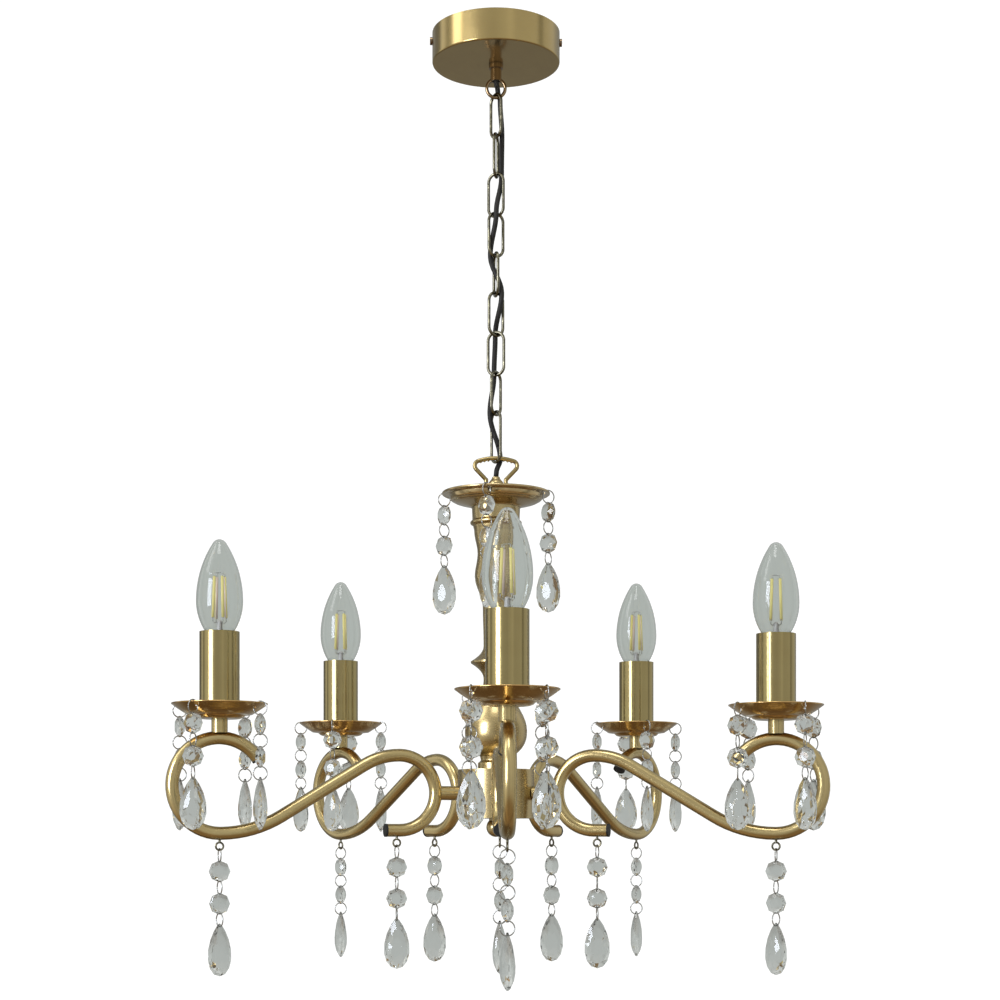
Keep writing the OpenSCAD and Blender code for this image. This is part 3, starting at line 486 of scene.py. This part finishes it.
# How sharply the drop narrows to its top, and the greatest value of sin(turn) * sin(turn / 2) ** DROP_PINCH
DROP_PINCH = 0.6
DROP_WIDEST = 0.841
# (share of the outline, share of the thickness) of the drop's girdle, its crown points and its table
DROP_GIRDLE = (1.0, 0.07)
DROP_CROWN = (0.68, 0.34)
DROP_TABLE = (0.36, 0.48)


def drop_mesh(length, width, thickness):
    """Flat teardrop facing along X: on each face a table, long facets and triangles at the girdle."""
    steps = 16
    middle = -0.12 * length

    def outline(turn):
        pinch = math.sin(turn / 2) ** DROP_PINCH / DROP_WIDEST
        return width / 2 * math.sin(turn) * pinch, length / 2 * math.cos(turn)

    def mirrored(turn):
        turn = turn % (2 * math.pi)
        if turn > math.pi:
            y, z = outline(2 * math.pi - turn)
            return -y, z
        return outline(turn)

    vertices, faces = [], []

    def ring(count, offset, shares, side):
        share, depth = shares
        start = len(vertices)
        for k in range(count):
            y, z = mirrored(2 * math.pi * (k + offset) / count)
            vertices.append((side * depth * thickness, y * share, middle + (z - middle) * share))
        return [start + k for k in range(count)]

    girdles = []
    for side in (1, -1):
        girdle = ring(steps, 0, DROP_GIRDLE, side)
        crown = ring(steps, 0.5, DROP_CROWN, side)
        table = ring(steps // 2, 0, DROP_TABLE, side)
        for k in range(steps):
            n = (k + 1) % steps
            faces.append([girdle[k], girdle[n], crown[k]])
            faces.append([girdle[n], crown[n], crown[k]])
        for k in range(steps // 2):
            before, after = crown[(2 * k - 1) % steps], crown[2 * k]
            beyond, following = crown[(2 * k + 1) % steps], table[(k + 1) % (steps // 2)]
            faces.append([before, after, table[k]])
            faces.append([after, beyond, table[k]])
            faces.append([beyond, following, table[k]])
        faces.append(table)
        girdles.append(girdle)
    for k in range(steps):
        n = (k + 1) % steps
        faces.append([girdles[0][k], girdles[0][n], girdles[1][n], girdles[1][k]])
    return cleaned(mesh_of("drop", vertices, faces))


def ring_mesh(radius, wire_r, open_angle=5):
    """A jump ring in the XZ plane, with its butt joint at one side."""
    steps = 44
    start = math.radians(open_angle / 2)
    turns = [start + (2 * math.pi - 2 * start) * k / steps for k in range(steps + 1)]
    return tube("ring", [(radius * math.cos(t), 0, radius * math.sin(t)) for t in turns], wire_r, 10)


def spread(points):
    """Height, thickness and width of a flat upright piece, and the level direction that it faces."""
    turns = np.radians(np.arange(0, 180, 0.25))
    directions = np.stack([np.cos(turns), np.sin(turns)])
    extents = np.ptp(points[:, :2] @ directions, axis=0)
    thin = int(extents.argmin())
    wide = (thin + len(turns) // 2) % len(turns)
    return float(np.ptp(points[:, 2])), float(extents[thin]), float(extents[wide]), directions[:, thin]


def stand(points, flat):
    """Matrix that puts a template facing along X at a CAD piece's middle, facing the way the piece does."""
    middle = (points.max(0) + points.min(0)) / 2
    return Matrix.Translation(Vector(middle)) @ Matrix.Rotation(math.atan2(flat[1], flat[0]), 4, "Z")


# A strand's solids from the top down: ring, bead, ring, bead, ring, drop
RINGS_AT = (0, 2, 4)
BEADS_AT = (1, 3)
DROP_AT = 5
strand_nodes = sorted(n for n in frame["nodes"] if "strand" in n)
sample = [part[0] for part in solids(strand_nodes[0])]
ring_height, ring_wire = spread(sample[RINGS_AT[0]])[:2]
bead_height, bead_thick = spread(sample[BEADS_AT[0]])[:2]
drop_height, drop_thick, drop_width = spread(sample[DROP_AT])[:3]

HOLE_R = 0.78 * MM
BEAD_HOLE_IN = 1.05 * MM
DROP_HOLE_IN = 2.2 * MM
BEAD_EDGE = 1.6 * MM
# Sizes of the cut pieces as shares of the CAD pieces' sizes
BEAD_FIT = 0.99
DROP_FIT = 0.98
hole_up = bead_height / 2 - BEAD_HOLE_IN
drop_hole_up = drop_height / 2 - DROP_HOLE_IN
cut_bead = bead_mesh(BEAD_FIT * bead_height, bead_thick, BEAD_EDGE)
cut_drop = drop_mesh(drop_height, DROP_FIT * drop_width, DROP_FIT * drop_thick)
BEAD = drilled(cut_bead, (-hole_up, hole_up), HOLE_R, bead_thick)
DROP = drilled(cut_drop, (drop_hole_up,), HOLE_R, drop_thick)
RING = ring_mesh(ring_height / 2 - ring_wire / 2, ring_wire / 2)
QUARTER = Matrix.Rotation(math.radians(90), 4, "Z")

for node_name in strand_nodes:
    body = next(b for b, members in frame["record"]["behaviour"]["bodies"].items() if node_name in members)
    places = [stand(part[0], spread(part[0])[3]) for part in solids(node_name)]
    rings = joined(node_name + "_rings", [(RING, places[k] @ QUARTER) for k in RINGS_AT])
    beads = joined(node_name + "_beads", [(BEAD, places[k]) for k in BEADS_AT])
    drop = joined(node_name + "_drop", [(DROP, places[DROP_AT])])
    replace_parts(piece(node_name + "_rings", rings, chrome, body, smooth=True), node_name)
    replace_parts(piece(node_name + "_beads", beads, crystal, body), node_name)
    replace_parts(piece(node_name + "_drop", drop, crystal, body), node_name)


# ---------------------------------------------------------------- bulbs

def profile(points):
    """Outline of a turned CAD solid: the greatest radius at each height, the highest first."""
    middle = (points.max(0) + points.min(0)) / 2
    radii = np.hypot(points[:, 0] - middle[0], points[:, 1] - middle[1])
    heights = np.round(points[:, 2], 6)
    return [(float(radii[heights == h].max()), float(h)) for h in sorted(set(heights), reverse=True)]


def bulging(outline):
    """The points of an outline, highest first, that lie on its outer side and not on the wall inside it."""
    kept = []
    for r, h in outline:
        while len(kept) > 1:
            (r0, h0), (r1, h1) = kept[-2:]
            if (r1 - r0) * (h - h1) - (h1 - h0) * (r - r1) < -1e-12:
                break
            kept.pop()
        kept.append((r, h))
    return kept


def smoothed(points, per_span=4):
    """A Catmull-Rom curve through points."""
    given = [np.array(p) for p in points]
    given = [2 * given[0] - given[1]] + given + [2 * given[-1] - given[-2]]
    curve = []
    for a, b, c, d in zip(given, given[1:], given[2:], given[3:]):
        for k in range(per_span):
            t = k / per_span
            curve.append(0.5 * (2 * b + (c - a) * t + (2 * a - 5 * b + 4 * c - d) * t ** 2
                                + (3 * b - a - 3 * c + d) * t ** 3))
    return curve + [given[-2]]


GLASS_WALL = 0.8 * MM


def glass_shell(points, tip):
    """The bulb's glass as a thin closed shell, from the CAD solid's outer outline."""
    outer = bulging(profile(points))
    mirrored = [(-r, h) for r, h in outer[1:3]][::-1]
    outer = [(0.0, outer[0][1])] + outer[1:]
    curve = smoothed(mirrored + outer)[4 * len(mirrored):]
    curve = [(abs(float(r)), float(h) - tip) for r, h in curve]
    curve[0] = (0.0, curve[0][1])
    inner = []
    for i, (r, h) in enumerate(curve):
        before, after = curve[max(i - 1, 0)], curve[min(i + 1, len(curve) - 1)]
        across = Vector((before[1] - after[1], after[0] - before[0])).normalized()
        inner.append((max(r - GLASS_WALL * across.x, 0.0), h - GLASS_WALL * max(across.y, 0)))
    inner[0] = (0.0, curve[0][1] - GLASS_WALL)
    return lathe("shell", curve + inner[::-1], 72)


STICK_R = 1.1 * MM
STICK_INSET = 1.5 * MM
TAB_R = 0.32 * MM
CROWN_LEAD_R = 0.18 * MM
STEM_LEAD_R = 0.22 * MM
# The glass stem as (radius in mm, share of the way down from its tip)
STEM_FLARE = [(0.0, 0.0), (1.6, 0.05), (2.2, 0.16), (2.0, 0.34), (2.6, 0.55), (3.3, 0.8), (4.0, 1.0),
              (0.0, 1.0)]


def filament(top, foot):
    """A stick of phosphor, bare ceramic where it faces the bulb's axis, and the tabs at its ends."""
    along = (top - foot).normalized()
    outward = Vector((foot.x, foot.y, 0)).normalized()
    stick = tube("stick", [foot + STICK_INSET * along, top - STICK_INSET * along], STICK_R, 16)
    for face in stick.polygons:
        face.material_index = 1 if face.normal.dot(outward) < -0.5 else 0
    tabs = [tube("tab", [foot - 1.2 * MM * along, foot + 1.8 * MM * along], TAB_R, 8),
            tube("tab", [top - 1.8 * MM * along, top + 1.2 * MM * along], TAB_R, 8)]
    return stick, tabs


def lead_wires(top, foot, stem_top):
    """The wires from a filament's top in to the crown, and from its foot in to the stem."""
    along = (top - foot).normalized()
    crown = Vector((0, 0, top.z + 1.6 * MM))
    upper = [top + 1.0 * MM * along, (top + crown) / 2 + Vector((0, 0, 0.8 * MM)), crown]
    seat = Vector((0, 0, stem_top - 1.5 * MM))
    elbow = Vector((foot.x, foot.y, foot.z - 1.5 * MM)) * 0.75 + seat * 0.25 - Vector((0, 0, MM))
    lower = [foot - 1.0 * MM * along, elbow, seat]
    return [tube("lead", upper, CROWN_LEAD_R, 6), tube("lead", lower, STEM_LEAD_R, 6)]


def bulb_templates(node_name):
    """Meshes of one bulb about its own axis, with heights measured from its tip."""
    low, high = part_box(node_name)
    middle, tip = (low + high) / 2, high.z
    parts = sorted(solids(node_name), key=lambda part: -np.ptp(part[0][:, 0]))
    glass_part, cap_part, stem_part = (part[0] for part in parts[:3])
    shell = glass_shell(glass_part, tip)
    cap_line = [(r, h - tip) for r, h in profile(cap_part)]
    cap = lathe("cap", [(0.0, cap_line[0][1])] + cap_line[1:] + [(0.0, cap_line[-1][1])], 48)
    stem_top, stem_foot = stem_part[:, 2].max() - tip, stem_part[:, 2].min() - tip
    stem = lathe("stem", [(r * MM, stem_top + (stem_foot - stem_top) * s) for r, s in STEM_FLARE], 28)
    sticks, wires = [], []
    for part, _ in parts[3:]:
        top = part[part[:, 2] > part[:, 2].max() - 2 * MM].mean(0)
        foot = part[part[:, 2] < part[:, 2].min() + 2 * MM].mean(0)
        top, foot = (Vector((p[0] - middle.x, p[1] - middle.y, p[2] - tip)) for p in (top, foot))
        stick, tabs = filament(top, foot)
        sticks.append((stick, Matrix()))
        wires += [(wire, Matrix()) for wire in tabs + lead_wires(top, foot, stem_top)]
    return shell, cap, stem, joined("sticks", sticks), joined("leads", wires)


SHELL, CAP, STEM, STICKS, LEADS = bulb_templates("bulb_front")

# How far each bulb is screwed round, in degrees
BULB_TURNS = (75, 80, 69, 83, 78)
BULB_LOOKS = (("glass", SHELL, bulb_glass), ("cap", CAP, chrome), ("stem", STEM, stem_glass),
              ("filaments", STICKS, phosphor), ("leads", LEADS, steel))

for name, bulb_turn in zip(CANDLES, BULB_TURNS):
    node_name = "bulb_" + name
    low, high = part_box(node_name)
    place = Matrix.Translation(((low.x + high.x) / 2, (low.y + high.y) / 2, high.z))
    place = place @ Matrix.Rotation(math.radians(bulb_turn), 4, "Z")
    for suffix, template, finish in BULB_LOOKS:
        mesh = joined(node_name + "_" + suffix, [(template, place)])
        made = piece(node_name + "_" + suffix, mesh, finish, node_name, smooth=True)
        if suffix == "filaments":
            mesh.materials.append(ceramic)
        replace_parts(made, node_name)


# ---------------------------------------------------------------- supply cord and terminal block

def level_path(points):
    """Centre line of a CAD cord, which is a stack of level rings, the highest first."""
    heights = np.round(points[:, 2], 6)
    return [points[heights == h].mean(0) for h in sorted(set(heights), reverse=True)]


terminal, tail = sorted(solids("supply_connector"), key=lambda part: -part[0][:, 2].min())
main = solids("supply_cord")[0]
tail_path = level_path(tail[0])
main_path = level_path(main[0])
path = smoothed(tail_path + main_path, 3)
swing = {j["name"]: j["pos_m"][2] for j in frame["joints"] if j["name"] in ("chain_swing", "fixture_swing")}
upper, lower = swing["chain_swing"], swing["fixture_swing"]
# The cord is three pieces, so that it can bend near each of the two joints
top_end, bottom_start = upper - 12 * MM, lower + 14 * MM
cord_r = float(np.ptp(main[0][main[0][:, 2] > main[0][:, 2].max() - 1e-5][:, 0])) / 2


def cord_piece(name, points):
    return piece(name, tube(name, points, cord_r, 16), cord_jacket, smooth=True)


first = next(i for i, p in enumerate(path) if p[2] < top_end)
last = next(i for i, p in enumerate(path) if p[2] < bottom_start)
nut_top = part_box("assembly_nuts")[1].z
way_down = (path[-1] - path[-2]) / np.linalg.norm(path[-1] - path[-2])
end_point = path[-1] + way_down * (path[-1][2] - nut_top + 1 * MM)
cord_top = cord_piece("supply_cord_top", path[:first + 1])
cord_middle = cord_piece("supply_cord_middle", path[first:last + 1])
cord_bottom = cord_piece("supply_cord_bottom", list(path[last:]) + [end_point])
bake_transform(cord_top)
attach(cord_middle, "chain")
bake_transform(cord_bottom)
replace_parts(cord_top, "supply_connector", "supply_cord")
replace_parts(cord_middle, "supply_cord")
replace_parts(cord_bottom, "supply_cord")
block_mesh = cleaned(mesh_of("terminal_block", *terminal))
block = piece("terminal_block", block_mesh, white_plastic, "ceiling_rose")
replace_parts(block, "supply_connector")


# ---------------------------------------------------------------- floor, light and camera

def studio():
    """A pale round cove: a floor that curves up into a wall on every side."""
    floor_z, flat_r, radius, bend, top = ARMS_LOW - 0.75, 1.5, 5.0, 1.6, 3.5
    line = [(flat_r, floor_z), (radius - bend, floor_z)]
    for a in range(10, 91, 10):
        out, up = math.sin(math.radians(a)), math.cos(math.radians(a))
        line.append((radius - bend + bend * out, floor_z + bend - bend * up))
    line.append((radius, top))
    sides = 96
    vertices, faces = [], []
    for r, z in line:
        vertices += [(r * math.cos(2 * math.pi * k / sides), r * math.sin(2 * math.pi * k / sides), z)
                     for k in range(sides)]
    vertices.append((0, 0, floor_z))
    hub = len(vertices) - 1
    for k in range(sides):
        n = (k + 1) % sides
        faces.append([hub, k, n])
        for i in range(len(line) - 1):
            faces.append([i * sides + k, (i + 1) * sides + k, (i + 1) * sides + n, i * sides + n])
    made, tree = material("pale_cove")
    grain = noise(tree, object_coords(tree), 3.0, 2.0)
    tone = mix_colour(tree, grain, (0.93, 0.93, 0.925, 1), (0.9, 0.9, 0.895, 1))
    matt = add(tree, "ShaderNodeBsdfDiffuse", {"Color": tone})
    glow = add(tree, "ShaderNodeEmission", {"Color": tone, "Strength": 1.35})
    seen = add(tree, "ShaderNodeMixShader", {0: 0.3, 1: glow.outputs[0], 2: matt.outputs[0]})
    path_info = add(tree, "ShaderNodeLightPath")
    mixed = add(tree, "ShaderNodeMixShader",
                {0: path_info.outputs["Is Camera Ray"], 1: matt.outputs[0], 2: seen.outputs[0]})
    output(tree, mixed.outputs[0])
    mesh = mesh_of("cove", vertices, faces)
    mesh.materials.append(made)
    for polygon in mesh.polygons:
        polygon.use_smooth = True
    cove = bpy.data.objects.new("cove", mesh)
    bpy.context.scene.collection.objects.link(cove)
    cove.visible_glossy = False
    cove.visible_transmission = False


def surroundings():
    """What metal and glass mirror: a room of soft grey screens with a few dark gaps, over a warm floor."""
    world = bpy.data.worlds.new("room")
    bpy.context.scene.world = world
    world.use_nodes = True
    tree = world.node_tree
    tree.nodes.clear()
    split = add(tree, "ShaderNodeSeparateXYZ", {0: add(tree, "ShaderNodeTexCoord").outputs["Generated"]})
    x, y, z = split.outputs
    azimuth = math_node(tree, "ARCTAN2", x, math_node(tree, "MULTIPLY", y, -1.0))
    round_about = math_node(tree, "MULTIPLY_ADD", azimuth, 0.5 / math.pi, 0.5)
    behind_left = [(-180, 0.3), (-150, 0.26), (-137, 0.2), (-124, 0.22), (-117, 0.95), (-109, 0.9),
                   (-101, 0.4), (-92, 0.42)]
    front_left = [(-86, 0.85), (-64, 0.9), (-40, 0.62), (-8, 0.55)]
    front_right = [(14, 0.62), (24, 0.75), (34, 0.6), (60, 0.62), (78, 0.66), (83, 0.3), (89, 0.3)]
    behind_right = [(94, 0.62), (120, 0.66), (136, 0.4), (150, 0.28)]
    screens = [((a + 180) / 360, (v, v * 1.02, v * 0.99))
               for a, v in behind_left + front_left + front_right + behind_right]
    bands = ramp(tree, round_about, screens, "EASE")
    height = math_node(tree, "MULTIPLY_ADD", math_node(tree, "ARCSINE", z), 1 / math.pi, 0.5)
    levels = [(-90, (0.5, 0.33, 0.2)), (-45, (0.55, 0.4, 0.26)), (-24, (0.88, 0.83, 0.77)), (-5, (1, 1, 1)),
              (20, (1.1, 1.1, 1.1)), (50, (1.2, 1.2, 1.18)), (90, (1.1, 1.1, 1.1))]
    stops = [((a + 90) / 180, tuple(0.5 * c for c in v)) for a, v in levels]
    heights = ramp(tree, height, stops, "EASE")
    colour = mix_colour(tree, 1.0, bands, heights, "MULTIPLY")
    backdrop = ramp(tree, height, [(0.2, (0.14, 0.145, 0.14)), (0.45, (0.216, 0.23, 0.219)),
                                   (0.62, (0.235, 0.248, 0.237)), (0.9, (0.33, 0.34, 0.33))])
    through = add(tree, "ShaderNodeLightPath").outputs["Is Transmission Ray"]
    colour = mix_colour(tree, math_node(tree, "MULTIPLY", through, 0.8), colour, backdrop)
    background = add(tree, "ShaderNodeBackground", {"Color": colour, "Strength": 2.0})
    add(tree, "ShaderNodeOutputWorld", {"Surface": background.outputs[0]})


def softbox(name, azimuth, elevation, distance, size, power, centre, glossy=True, colour=(1, 1, 1)):
    """A rectangular soft light at an azimuth from the front, to the right, facing the centre."""
    light = bpy.data.lights.new(name, "AREA")
    light.shape = "RECTANGLE"
    light.size, light.size_y = size
    light.energy = power
    light.color = colour
    made = bpy.data.objects.new(name, light)
    bpy.context.scene.collection.objects.link(made)
    a, e = math.radians(azimuth), math.radians(elevation)
    away = Vector((math.sin(a) * math.cos(e), -math.cos(a) * math.cos(e), math.sin(e)))
    made.location = centre + away * distance
    made.rotation_euler = away.to_track_quat("Z", "Y").to_euler()
    made.visible_camera = False
    made.visible_glossy = glossy
    made.visible_transmission = False


studio()
surroundings()
middle = (cad_box[0] + cad_box[1]) / 2
softbox("key", azimuth=-48.5, elevation=8, distance=2.6, size=(0.9, 1.5), power=48, centre=middle,
        colour=(0.93, 0.98, 1.1))
softbox("window", azimuth=-76, elevation=40, distance=2.6, size=(0.75, 1.3), power=8, centre=middle)
softbox("fill", azimuth=62, elevation=24, distance=2.8, size=(1.6, 1.6), power=18, centre=middle,
        glossy=False)
softbox("top", azimuth=-12, elevation=66, distance=2.6, size=(0.9, 0.9), power=12, centre=middle)

CAMERA_FAR = 1.571
CAMERA_TURN = math.radians(-2)
FRAME_RISE = 0.340
FRAME_ASIDE = 0.004
camera_data = bpy.data.cameras.new("camera")
camera_data.sensor_width = 36
camera_data.lens = 72
camera_data.clip_start, camera_data.clip_end = 0.05, 50
camera = bpy.data.objects.new("camera", camera_data)
bpy.context.scene.collection.objects.link(camera)
camera.location = (CAMERA_FAR * math.sin(CAMERA_TURN), -CAMERA_FAR * math.cos(CAMERA_TURN), ARMS_LOW)
camera.rotation_euler = (math.radians(90), 0, CAMERA_TURN)
bpy.context.scene.camera = camera

# The lens rises for the picture's own view only; round views keep the object centred
for direction, amount in (("shift_x", FRAME_ASIDE), ("shift_y", FRAME_RISE)):
    shift = camera_data.driver_add(direction).driver
    shift.type = "SCRIPTED"
    place = shift.variables.new()
    place.name = "y"
    place.type = "TRANSFORMS"
    place.targets[0].id = camera
    place.targets[0].transform_type = "LOC_Y"
    shift.expression = f"{amount} if abs(y - ({camera.location.y:.6f})) < 0.0005 else 0.0"

scene = bpy.context.scene
scene.view_settings.view_transform = "Standard"
scene.cycles.max_bounces = 16
scene.cycles.transmission_bounces = 16
scene.cycles.transparent_max_bounces = 24
scene.cycles.glossy_bounces = 6
scene.cycles.diffuse_bounces = 3
scene.cycles.caustics_refractive = False
scene.cycles.caustics_reflective = False
scene.cycles.use_denoising = True
